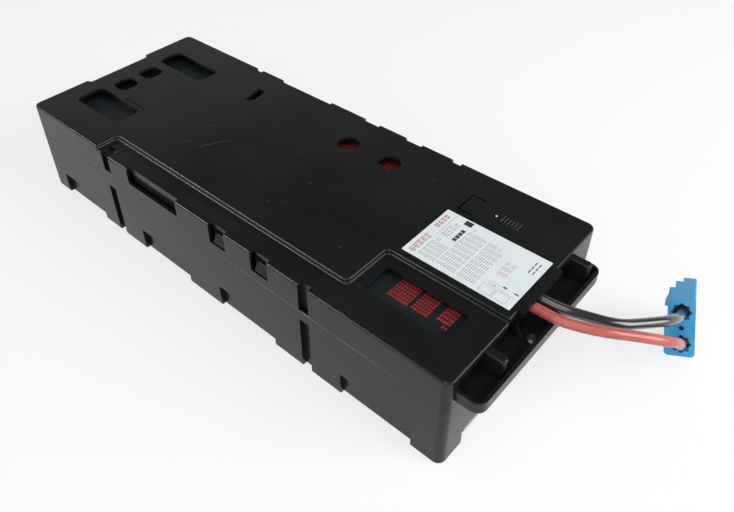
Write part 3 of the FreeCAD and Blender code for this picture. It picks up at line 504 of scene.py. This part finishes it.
# ---------------------------------------------------------------------------------------------
# Rows of print
# ---------------------------------------------------------------------------------------------
class RowsTree(Wiring):
    """Geometry Nodes tree that lays rows of short raised bars in a rectangle, like worn print."""

    SHORTEST_BAR = 0.62
    INPUTS = (
        ("Corner", "NodeSocketVector"), ("Width", "NodeSocketFloat"), ("Depth", "NodeSocketFloat"),
        ("Rows", "NodeSocketInt"), ("Bars", "NodeSocketInt"), ("Row Fill", "NodeSocketFloat"),
        ("Bar Fill", "NodeSocketFloat"), ("Ragged", "NodeSocketFloat"), ("Relief", "NodeSocketFloat"),
        ("Seed", "NodeSocketInt"), ("Ink", "NodeSocketMaterial"),
    )

    def __init__(self) -> None:
        """Builds the tree."""
        super().__init__(bpy.data.node_groups.new("print_rows", "GeometryNodeTree"))
        self.sockets: Dict[str, str] = {}
        for name, kind in self.INPUTS:
            socket = self.tree.interface.new_socket(name=name, in_out="INPUT", socket_type=kind)
            self.sockets[name] = socket.identifier
        self.tree.interface.new_socket(name="Geometry", in_out="OUTPUT", socket_type="NodeSocketGeometry")
        self.given = self.add("NodeGroupInput").outputs
        self._wire()

    def _random(self, low: float, high: float, item: Socket) -> Socket:
        """Draws a random number that stays the same for the same item.

        Args:
            low: the least that it may be.
            high: the most that it may be.
            item: output that tells the items apart.

        Returns:
            The number's output.
        """
        node = self.add("FunctionNodeRandomValue", data_type="FLOAT")
        self.fill(node.inputs[2:4], (low, high))
        self.join(item, node.inputs["ID"])
        self.join(self.given["Seed"], node.inputs["Seed"])
        return node.outputs[1]

    def _vector(self, x: Value, y: Value, z: Value) -> Socket:
        """Joins three values to a vector.

        Args:
            x: an output or a number.
            y: an output or a number.
            z: an output or a number.

        Returns:
            The vector output.
        """
        node = self.add("ShaderNodeCombineXYZ")
        self.fill(node.inputs, (x, y, z))
        return node.outputs["Vector"]

    def _wire(self) -> None:
        """Joins points, bars and ink into the output."""
        given, maths = self.given, self.maths
        index = self.add("GeometryNodeInputIndex").outputs["Index"]
        row = maths("FLOOR", maths("DIVIDE", index, given["Bars"]), 0.0)
        column = maths("SUBTRACT", index, maths("MULTIPLY", row, given["Bars"]))
        bar_pitch = maths("DIVIDE", given["Width"], given["Bars"])
        row_pitch = maths("DIVIDE", given["Depth"], given["Rows"])
        slack = maths("MULTIPLY", maths("SUBTRACT", 1.0, given["Bar Fill"]), bar_pitch)
        sway = maths("MULTIPLY", self._random(-0.5, 0.5, row), slack)
        along = maths("ADD", maths("MULTIPLY", maths("ADD", column, 0.5), bar_pitch), sway)
        down = maths("MULTIPLY", maths("ADD", row, 0.5), row_pitch)
        spot = self.add("ShaderNodeVectorMath")
        self.fill(spot.inputs, (given["Corner"], self._vector(along, down, 0.0)))
        points = self.add("GeometryNodePoints")
        self.join(maths("MULTIPLY", given["Bars"], given["Rows"]), points.inputs["Count"])
        self.join(spot.outputs["Vector"], points.inputs["Position"])
        cut = maths("MULTIPLY", given["Ragged"], self._random(0.0, 1.0, row))
        end = maths("MULTIPLY", given["Bars"], maths("SUBTRACT", 1.0, cut))
        full_length = maths("MULTIPLY", given["Bar Fill"], bar_pitch)
        length = maths("MULTIPLY", full_length, self._random(self.SHORTEST_BAR, 1.0, index))
        size = self._vector(length, maths("MULTIPLY", given["Row Fill"], row_pitch), given["Relief"])
        cube = self.add("GeometryNodeMeshCube")
        cube.inputs["Size"].default_value = (1.0, 1.0, 1.0)
        laid = self.add("GeometryNodeInstanceOnPoints")
        self.join(points.outputs[0], laid.inputs["Points"])
        self.join(maths("LESS_THAN", column, end), laid.inputs["Selection"])
        self.join(cube.outputs["Mesh"], laid.inputs["Instance"])
        self.join(size, laid.inputs["Scale"])
        real = self.add("GeometryNodeRealizeInstances")
        self.join(laid.outputs["Instances"], real.inputs["Geometry"])
        inked = self.add("GeometryNodeSetMaterial")
        self.join(real.outputs["Geometry"], inked.inputs["Geometry"])
        self.join(given["Ink"], inked.inputs["Material"])
        out = self.add("NodeGroupOutput")
        self.join(inked.outputs["Geometry"], out.inputs["Geometry"])


@dataclass(frozen=True)
class PrintField:
    """A rectangle of print: rows of bars with no lettering, in millimetres from a corner of its carrier."""

    low: Tuple[float, float]
    high: Tuple[float, float]
    rows: int
    bars: int
    row_fill: float = 0.55
    bar_fill: float = 0.84
    ragged: float = 0.2
    seed: int = 1

    def mesh(self, tree: RowsTree, corner: Vector, relief: float,
             ink: bpy.types.Material) -> bpy.types.Mesh:
        """Runs the tree on the field.

        Args:
            tree: the rows tree.
            corner: the carrier's corner, in metres, on the printed face.
            relief: height of the bars, half of it above the face, in metres.
            ink: the material.

        Returns:
            The mesh of its bars.
        """
        holder = bpy.data.objects.new("rows", bpy.data.meshes.new("rows"))
        bpy.context.scene.collection.objects.link(holder)
        rows = holder.modifiers.new("rows", "NODES")
        rows.node_group = tree.tree
        start = corner + Vector((self.low[0] * MM, self.low[1] * MM, 0.0))
        for name, value in (
            ("Corner", tuple(start)), ("Width", (self.high[0] - self.low[0]) * MM),
            ("Depth", (self.high[1] - self.low[1]) * MM), ("Rows", self.rows), ("Bars", self.bars),
            ("Row Fill", self.row_fill), ("Bar Fill", self.bar_fill), ("Ragged", self.ragged),
            ("Relief", relief), ("Seed", self.seed), ("Ink", ink),
        ):
            rows[tree.sockets[name]] = value
        depsgraph = bpy.context.evaluated_depsgraph_get()
        mesh = bpy.data.meshes.new_from_object(holder.evaluated_get(depsgraph), depsgraph=depsgraph)
        bpy.data.objects.remove(holder)
        return mesh


def joined(name: str, meshes: Sequence[bpy.types.Mesh], material: bpy.types.Material) -> None:
    """Joins meshes into one piece.

    Args:
        name: the piece's name.
        meshes: the meshes, which are used up.
        material: its material.
    """
    vertices: List[Point] = []
    faces: List[Tuple[int, ...]] = []
    for mesh in meshes:
        first = len(vertices)
        vertices += [tuple(vertex.co) for vertex in mesh.vertices]
        faces += [tuple(first + corner for corner in face.vertices) for face in mesh.polygons]
        bpy.data.meshes.remove(mesh)
    piece_from(name, vertices, faces, material)


# ---------------------------------------------------------------------------------------------
# Print and marks
# ---------------------------------------------------------------------------------------------
@dataclass
class CoverLabelPrint:
    """Generic print on the cover label: rows, blocks and thin frames, measured from its front left corner."""

    label: str = "cover_label"
    relief: float = 0.04 * MM
    line: float = 0.28
    rows: Tuple[Tuple[str, Finishes, Tuple[PrintField, ...]], ...] = (
        ("label_text", Finishes.GREY_INK, (
            PrintField((3.0, 55.5), (24.0, 68.0), rows=8, bars=5,
                       row_fill=0.34, bar_fill=0.95, ragged=0.35, seed=3),
            PrintField((26.5, 61.5), (42.5, 67.5), rows=3, bars=4,
                       row_fill=0.34, bar_fill=0.92, ragged=0.3, seed=4),
            PrintField((3.0, 40.5), (46.0, 54.5), rows=9, bars=9,
                       row_fill=0.34, bar_fill=0.95, ragged=0.22, seed=5),
            PrintField((3.0, 26.5), (41.0, 39.0), rows=8, bars=8,
                       row_fill=0.34, bar_fill=0.95, ragged=0.30, seed=6),
        )),
        ("label_titles", Finishes.PALE_RED_INK, (
            PrintField((30.8, 71.4), (45.0, 75.6), rows=2, bars=4,
                       row_fill=0.70, bar_fill=0.92, ragged=0.0, seed=7),
            PrintField((2.4, 69.8), (22.2, 74.8), rows=3, bars=5,
                       row_fill=0.56, bar_fill=0.92, ragged=0.1, seed=8),
            PrintField((19.5, 14.8), (34.0, 21.6), rows=5, bars=3,
                       row_fill=0.32, bar_fill=0.92, ragged=0.35, seed=9),
        )),
        ("label_blocks", Finishes.DARK_INK, (
            PrintField((26.8, 55.6), (39.6, 59.2), rows=1, bars=4,
                       row_fill=0.80, bar_fill=0.94, ragged=0.0, seed=10),
            PrintField((32.8, 3.2), (44.6, 8.6), rows=2, bars=3,
                       row_fill=0.28, bar_fill=0.86, ragged=0.2, seed=11),
        )),
    )
    frames: Tuple[Edges, ...] = (
        (2.0, 4.6, 8.6, 13.4), (2.0, 14.2, 8.6, 22.6), (25.4, 69.0, 48.2, 69.0), (9.4, 3.0, 9.4, 12.0),
        (10.4, 10.4, 12.6, 20.2),
    )
    blocks: Tuple[Edges, ...] = (
        (44.2, 55.8, 48.8, 61.4), (12.8, 9.4, 13.9, 12.2), (12.4, 1.6, 13.5, 4.4), (10.2, 16.0, 11.0, 17.2),
    )

    def build(self, tree: RowsTree, paint: Paint) -> None:
        """Lays the print on the label.

        Args:
            tree: the rows tree.
            paint: the finishes.
        """
        low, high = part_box(self.label)
        corner = Vector((low[0], low[1], high[2]))
        for name, finish, fields in self.rows:
            meshes = [field.mesh(tree, corner, self.relief, paint(finish)) for field in fields]
            joined(name, meshes, paint(finish))
            LOG.info("print: %s", name)
        frame_bars = [bar for edges in self.frames for bar in self._frame(*edges)]
        self._lines("label_frames", frame_bars, corner, paint(Finishes.GREY_INK))
        self._lines("label_marks", list(self.blocks), corner, paint(Finishes.DARK_INK))

    def _frame(self, left: float, front: float, right: float, far: float) -> List[Edges]:
        """Thin bars round a rectangle, or one line where it has no width or depth.

        Args:
            left: the left edge.
            front: the front edge.
            right: the right edge.
            far: the far edge.

        Returns:
            The left, front, right and far edges of each bar.
        """
        half = self.line / 2
        sides = [
            (left - half, front - half, right + half, front + half),
            (left - half, far - half, right + half, far + half),
            (left - half, front + half, left + half, far - half),
            (right - half, front + half, right + half, far - half),
        ]
        if front == far:
            return sides[:1]
        if left == right:
            return sides[2:3]
        return sides

    def _lines(self, name: str, spans: Sequence[Edges], corner: Vector, ink: bpy.types.Material) -> None:
        """Makes one piece of flat bars.

        Args:
            name: the piece's name.
            spans: the left, front, right and far edges of each bar, in millimetres from the corner.
            corner: the label's front left corner at its top, in metres.
            ink: the material.
        """
        base = [value / MM for value in corner]
        half = self.relief / MM / 2
        vertices, faces = boxes([
            ((base[0] + left, base[1] + front, base[2] - half),
             (base[0] + right, base[1] + far, base[2] + half))
            for left, front, right, far in spans
        ])
        piece_from(name, vertices, faces, ink)


@dataclass
class BatteryPrint:
    """Red print on the batteries' upper sides, seen through the cover's windows."""

    relief: float = 0.04 * MM
    places: Tuple[Tuple[str, Tuple[PrintField, ...]], ...] = (
        ("battery_4", (
            PrintField((28.0, 47.0), (47.6, 62.4), rows=8, bars=7,
                       row_fill=0.74, bar_fill=0.90, ragged=0.10, seed=21),
            PrintField((28.6, 33.0), (46.2, 45.0), rows=6, bars=7,
                       row_fill=0.70, bar_fill=0.88, ragged=0.30, seed=22),
            PrintField((31.4, 18.6), (47.4, 28.0), rows=5, bars=5,
                       row_fill=0.70, bar_fill=0.86, ragged=0.25, seed=23),
            PrintField((27.6, 18.2), (30.8, 22.8), rows=2, bars=1,
                       row_fill=0.60, bar_fill=0.80, ragged=0.0, seed=24),
        )),
        ("battery_3", (
            PrintField((116.0, 70.0), (136.0, 85.0), rows=7, bars=6,
                       row_fill=0.62, bar_fill=0.90, ragged=0.10, seed=25),
            PrintField((117.0, 28.0), (138.0, 43.0), rows=7, bars=6,
                       row_fill=0.70, bar_fill=0.90, ragged=0.10, seed=26),
        )),
    )

    def build(self, tree: RowsTree, paint: Paint) -> None:
        """Lays the print on each battery.

        Args:
            tree: the rows tree.
            paint: the finishes.
        """
        for battery, fields in self.places:
            low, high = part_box(battery)
            corner = Vector((low[0], low[1], high[2]))
            ink = paint(Finishes.RED_INK)
            meshes = [field.mesh(tree, corner, self.relief, ink) for field in fields]
            joined(f"{battery}_print", meshes, ink)
            LOG.info("print: %s", battery)


@dataclass
class CoverMarks:
    """Moulded ticks, a paint dot, scratches and nicks on the cover's raised top, in millimetres."""

    ticks: PrintField = PrintField((42.6, -164.4), (51.8, -149.6), rows=6, bars=1,
                                   row_fill=0.20, bar_fill=0.98, ragged=0.0, seed=31)
    tick_relief: float = 0.16 * MM
    dot: Tuple[float, float, float] = (47.0, -146.0, 0.75)
    dot_sides: int = 16
    dot_rings: Tuple[Tuple[float, float], ...] = ((1.0, -0.05), (1.0, 0.03), (0.6, 0.08))
    scratch_height: float = 0.02
    scratches: Tuple[Tuple[float, float, float, float, float], ...] = (
        (-31.1, 65.1, -8.3, 52.7, 0.26), (-32.6, 78.8, -27.7, 75.2, 0.22), (-9.9, 83.8, -3.9, 79.0, 0.26),
        (-25.6, 62.9, -17.0, 58.6, 0.16), (14.6, 70.9, 18.4, 69.2, 0.20), (8.0, 66.0, 11.4, 62.4, 0.16),
        (-42.4, -20.4, -39.4, -21.8, 0.22), (11.2, 3.4, 13.4, 1.9, 0.20), (-8.6, -28.6, -6.2, -30.4, 0.26),
        (-43.2, -87.8, -41.4, -89.2, 0.30), (50.6, -91.6, 52.4, -92.8, 0.30),
        (-20.0, 24.0, -16.6, 21.4, 0.16),
    )

    def build(self, tree: RowsTree, paint: Paint, top: float) -> None:
        """Makes the marks.

        Args:
            tree: the rows tree.
            paint: the finishes.
            top: height of the raised top, in metres.
        """
        scuff = paint(Finishes.SCUFF)
        ticks = self.ticks.mesh(tree, Vector((0.0, 0.0, top)), self.tick_relief, scuff)
        joined("cover_ticks", [ticks], scuff)
        vertices: List[Point] = []
        faces: List[Tuple[int, ...]] = []
        for mark in self.scratches:
            first = len(vertices)
            vertices += self._sliver(*mark, top / MM)
            faces += [tuple(first + corner for corner in face) for face in BOX_FACES]
        piece_from("cover_scratches", vertices, faces, scuff)
        self._dot(paint(Finishes.WHITE_FILM), top / MM)
        LOG.info("marks on the cover")

    def _sliver(self, x0: float, y0: float, x1: float, y1: float, width: float, top: float) -> List[Point]:
        """Corners of a thin raised scratch.

        Args:
            x0: where it starts, along X.
            y0: where it starts, along Y.
            x1: where it ends, along X.
            y1: where it ends, along Y.
            width: how wide it is.
            top: height of the raised top, in millimetres.

        Returns:
            The eight corners in metres.
        """
        along = Vector((x1 - x0, y1 - y0)).normalized()
        side = Vector((-along.y, along.x)) * width / 2
        corners = ((x0 - side.x, y0 - side.y), (x1 - side.x, y1 - side.y),
                   (x1 + side.x, y1 + side.y), (x0 + side.x, y0 + side.y))
        heights = (top - self.scratch_height, top + self.scratch_height)
        return [(x * MM, y * MM, z * MM) for z in heights for x, y in corners]

    def _dot(self, white: bpy.types.Material, top: float) -> None:
        """Makes a small round dot of white paint, slightly domed.

        Args:
            white: the material.
            top: height of the raised top, in millimetres.
        """
        x, y, radius = self.dot
        sides = self.dot_sides
        vertices: List[Point] = []
        for share, rise in self.dot_rings:
            for n in range(sides):
                angle = math.tau * n / sides
                vertices.append(((x + radius * share * math.cos(angle)) * MM,
                                 (y + radius * share * math.sin(angle)) * MM, (top + rise) * MM))
        faces: List[Tuple[int, ...]] = [tuple(reversed(range(sides)))]
        for ring in range(len(self.dot_rings) - 1):
            for n in range(sides):
                after = (n + 1) % sides
                faces.append((ring * sides + n, ring * sides + after, (ring + 1) * sides + after,
                              (ring + 1) * sides + n))
        faces.append(tuple(range(len(vertices) - sides, len(vertices))))
        piece_from("cover_dot", vertices, faces, white)


# ---------------------------------------------------------------------------------------------
# Leads
# ---------------------------------------------------------------------------------------------
@dataclass
class FreeLead:
    """A short stiff lead from the outlet to the connector."""

    name: str
    node: str
    finish: Finishes
    length: float
    route: Tuple[Point, ...]
    carried: Tuple[str, ...]
    diameter: float = 0.0066
    order: int = 3
    steps: int = 14
    round_steps: int = 10

    def build(self, paint: Paint) -> None:
        """Args:
            paint: the finishes.
        """
        curve = bpy.data.curves.new(self.name, "CURVE")
        curve.dimensions = "3D"
        spline = curve.splines.new("NURBS")
        spline.points.add(len(self.route) - 1)
        for point, place in zip(spline.points, self.route):
            point.co = (*place, 1.0)
        spline.order_u = self.order
        spline.use_endpoint_u = True
        spline.resolution_u = self.steps
        curve.bevel_depth = self.diameter / 2
        curve.bevel_resolution = self.round_steps
        curve.use_fill_caps = True
        curve.materials.append(paint(self.finish))
        lead = bpy.data.objects.new(self.name, curve)
        bpy.context.scene.collection.objects.link(lead)
        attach(lead, BODY)
        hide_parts(self.node)


LEADS = (
    FreeLead("red_lead", "positive_lead", Finishes.RED_WIRE, 0.1489, (
        (-0.0015, -0.1962, 0.0746), (-0.0015, -0.2060, 0.0746), (-0.0013, -0.2216, 0.0748),
        (0.0076, -0.2420, 0.0746), (0.0237, -0.2558, 0.0676), (0.0393, -0.2701, 0.0600),
        (0.0542, -0.2727, 0.0477), (0.0710, -0.2724, 0.0284), (0.0817, -0.2699, 0.02345),
    ), ("connector_housing", "positive_contact", "contact_springs")),
    FreeLead("black_lead", "negative_lead", Finishes.BLACK_WIRE, 0.1274, (
        (0.0070, -0.1962, 0.0746), (0.0070, -0.2060, 0.0746), (0.0093, -0.2177, 0.0733),
        (0.0150, -0.2281, 0.0713), (0.0242, -0.2443, 0.0679), (0.0398, -0.2541, 0.0633),
        (0.0573, -0.2644, 0.0585), (0.07528, -0.26570, 0.04804), (0.08849, -0.26255, 0.04193),
    ), ("connector_housing", "negative_contact")),
)


# ---------------------------------------------------------------------------------------------
# Studio
# ---------------------------------------------------------------------------------------------
@dataclass(frozen=True)
class SoftLamp:
    """A rectangular lamp that faces the cartridge."""

    name: str
    place: Point
    size: Tuple[float, float]
    power: float
    gloss_only: bool = False

    def build(self, aim: Vector) -> None:
        """Makes the lamp.

        Args:
            aim: the point that it faces.
        """
        lamp = bpy.data.lights.new(self.name, "AREA")
        lamp.shape = "RECTANGLE"
        lamp.size, lamp.size_y = self.size
        lamp.energy = self.power
        holder = bpy.data.objects.new(self.name, lamp)
        holder.location = self.place
        holder.rotation_euler = (aim - Vector(self.place)).to_track_quat("-Z", "Y").to_euler()
        holder.visible_diffuse = not self.gloss_only
        bpy.context.scene.collection.objects.link(holder)


@dataclass
class Studio:
    """White floor and surroundings, dim overhead to light and gloss, with soft lamps and the camera."""

    floor_size: float = 12.0
    floor_glow: float = 0.68
    floor_colour: Colour = (0.34, 0.34, 0.34)
    pale_up_to: float = 0.20
    dim_from: float = 0.58
    overhead: float = 0.10
    camera_place: Point = (-0.2848, -0.3139, 0.39105)
    azimuth: float = -47.13
    elevation: float = 38.718
    roll: float = -1.256
    sensor: float = 36.0
    lens: float = 35.37971
    nearest: float = 0.01
    shift: Tuple[float, float] = (0.0376, -0.0886)
    aim: Point = (0.0, -0.05, 0.04)
    lamps: Tuple[SoftLamp, ...] = (
        SoftLamp("key", (0.55, -1.50, 0.85), (1.1, 1.1), 21.0),
        SoftLamp("fill", (-1.50, -0.60, 0.80), (1.2, 1.2), 9.0),
        SoftLamp("top", (-0.45, -0.35, 1.80), (1.2, 1.2), 10.0),
        SoftLamp("edge", (-0.95, 0.88, 0.86), (1.15, 0.26), 21.0, gloss_only=True),
    )

    def build(self) -> None:
        """Makes floor, world, lamps and camera, and shows colours as they are."""
        bpy.context.scene.view_settings.view_transform = "Standard"
        self._floor()
        self._world()
        self._lamps()
        self._camera()

    def _floor(self) -> None:
        """A large pale floor that shows white and keeps the object's shadow."""
        half = self.floor_size / 2
        mesh = bpy.data.meshes.new("floor")
        corners = [(-half, -half, 0), (half, -half, 0), (half, half, 0), (-half, half, 0)]
        mesh.from_pydata(corners, [], [(0, 1, 2, 3)])
        floor = bpy.data.objects.new("floor", mesh)
        bpy.context.scene.collection.objects.link(floor)
        material = bpy.data.materials.new("floor_white")
        material.use_nodes = True
        wiring = Wiring(material.node_tree)
        wiring.tree.nodes.clear()
        matt = wiring.add("ShaderNodeBsdfDiffuse")
        matt.inputs["Color"].default_value = opaque(self.floor_colour)
        path = wiring.add("ShaderNodeLightPath").outputs
        seen = wiring.maths("MAXIMUM", path["Is Camera Ray"], path["Is Glossy Ray"])
        seen = wiring.maths("MAXIMUM", seen, path["Is Transmission Ray"])
        glow = wiring.add("ShaderNodeEmission")
        wiring.fill(glow.inputs, (opaque((1.0, 1.0, 1.0)), wiring.maths("MULTIPLY", seen, self.floor_glow)))
        both = wiring.add("ShaderNodeAddShader")
        wiring.fill(both.inputs, (matt.outputs["BSDF"], glow.outputs["Emission"]))
        out = wiring.add("ShaderNodeOutputMaterial")
        wiring.join(both.outputs["Shader"], out.inputs["Surface"])
        mesh.materials.append(material)

    def _world(self) -> None:
        """White to the camera; for light and gloss pale near the horizon and dim overhead."""
        world = bpy.data.worlds.new("studio")
        bpy.context.scene.world = world
        world.use_nodes = True
        wiring = Wiring(world.node_tree)
        wiring.tree.nodes.clear()
        split = wiring.add("ShaderNodeSeparateXYZ")
        wiring.join(wiring.add("ShaderNodeTexCoord").outputs["Generated"], split.inputs["Vector"])
        pale = wiring.ramp(split.outputs["Z"], self.pale_up_to, self.dim_from, bottom=1.0, top=self.overhead)
        to_camera = wiring.add("ShaderNodeLightPath").outputs["Is Camera Ray"]
        wall = wiring.add("ShaderNodeBackground")
        wiring.join(wiring.maths("MAXIMUM", pale, to_camera), wall.inputs["Strength"])
        out = wiring.add("ShaderNodeOutputWorld")
        wiring.join(wall.outputs["Background"], out.inputs["Surface"])

    def _lamps(self) -> None:
        """Soft lamps from the front, the left and above, and an edge lamp behind that only makes gloss."""
        for lamp in self.lamps:
            lamp.build(Vector(self.aim))

    def _camera(self) -> None:
        """The camera, level with its roll, looking down along the case from the lead end."""
        turn, rise, roll = (math.radians(a) for a in (self.azimuth, self.elevation, self.roll))
        back = Vector((math.sin(turn) * math.cos(rise), -math.cos(turn) * math.cos(rise), math.sin(rise)))
        right = Vector((math.cos(turn), math.sin(turn), 0.0))
        up = back.cross(right)
        across = right * math.cos(roll) + up * math.sin(roll)
        above = up * math.cos(roll) - right * math.sin(roll)
        data = bpy.data.cameras.new("camera")
        data.sensor_width = self.sensor
        data.lens = self.lens
        data.shift_x, data.shift_y = self.shift
        data.clip_start = self.nearest
        camera = bpy.data.objects.new("camera", data)
        axes = Matrix((across, above, back)).transposed().to_4x4()
        camera.matrix_world = Matrix.Translation(self.camera_place) @ axes
        bpy.context.scene.collection.objects.link(camera)
        bpy.context.scene.camera = camera


# ---------------------------------------------------------------------------------------------
# The cartridge
# ---------------------------------------------------------------------------------------------
@dataclass(frozen=True)
class SubAssembly:
    """Solid pieces that belong together, with the finish of each."""

    name: str
    finishes: Tuple[Tuple[Finishes, Tuple[str, ...]], ...]

    def dress(self, paint: Paint) -> None:
        """Gives each piece its finish.

        Args:
            paint: the finishes.
        """
        for finish, names in self.finishes:
            for name in names:
                paint.node(name, finish)
                LOG.info("%s: %s in %s", self.name, name, finish.name)


BATTERIES = tuple(f"battery_{number}" for number in (1, 2, 3, 4))
JUMPERS = ("jumper_1_2", "jumper_2_3", "jumper_3_4")
SUB_ASSEMBLIES = (
    SubAssembly("case", (
        (Finishes.CASE, ("bottom_tray", "top_cover", "lead_saddle")),
        (Finishes.SCREW, ("front_screw",)),
    )),
    SubAssembly("battery row", (
        (Finishes.BATTERY, BATTERIES),
        (Finishes.TINNED, tuple(f"{battery}_terminals" for battery in BATTERIES)),
        (Finishes.FOAM, tuple(f"foam_pad_{number}" for number in (1, 2, 3, 4))),
    )),
    SubAssembly("inner cabling", (
        (Finishes.BLACK_WIRE, (*JUMPERS, "negative_inner_lead")),
        (Finishes.RED_WIRE, ("positive_inner_lead",)),
        (Finishes.NYLON, tuple(f"{jumper}_receptacles" for jumper in JUMPERS)),
        (Finishes.NYLON, ("positive_receptacle", "negative_receptacle")),
    )),
    SubAssembly("connector", (
        (Finishes.BLUE, ("connector_housing",)),
        # The contacts' silver finish is darkened all over as painted shade.
        (Finishes.SILVER_IN_PAINTED_SHADE, ("positive_contact", "negative_contact")),
        (Finishes.SPRING, ("contact_springs",)),
    )),
    SubAssembly("labels", (
        (Finishes.WHITE_FILM, ("cover_label",)),
        (Finishes.GREY_FILM, ("front_label",)),
    )),
)


def main() -> None:
    """Builds the cartridge's looks piece by piece."""
    logging.basicConfig(level=logging.INFO, format="%(message)s")
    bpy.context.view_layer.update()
    paint = Paint()
    Studio().build()
    for lead in LEADS:
        lead.build(paint)
        LOG.info("lead: %s", lead.name)
    for assembly in SUB_ASSEMBLIES:
        assembly.dress(paint)
    tree = RowsTree()
    CoverLabelPrint().build(tree, paint)
    BatteryPrint().build(tree, paint)
    raised_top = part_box("cover_label")[0][2]
    CoverMarks().build(tree, paint, raised_top)


if __name__ == "__main__":
    main()
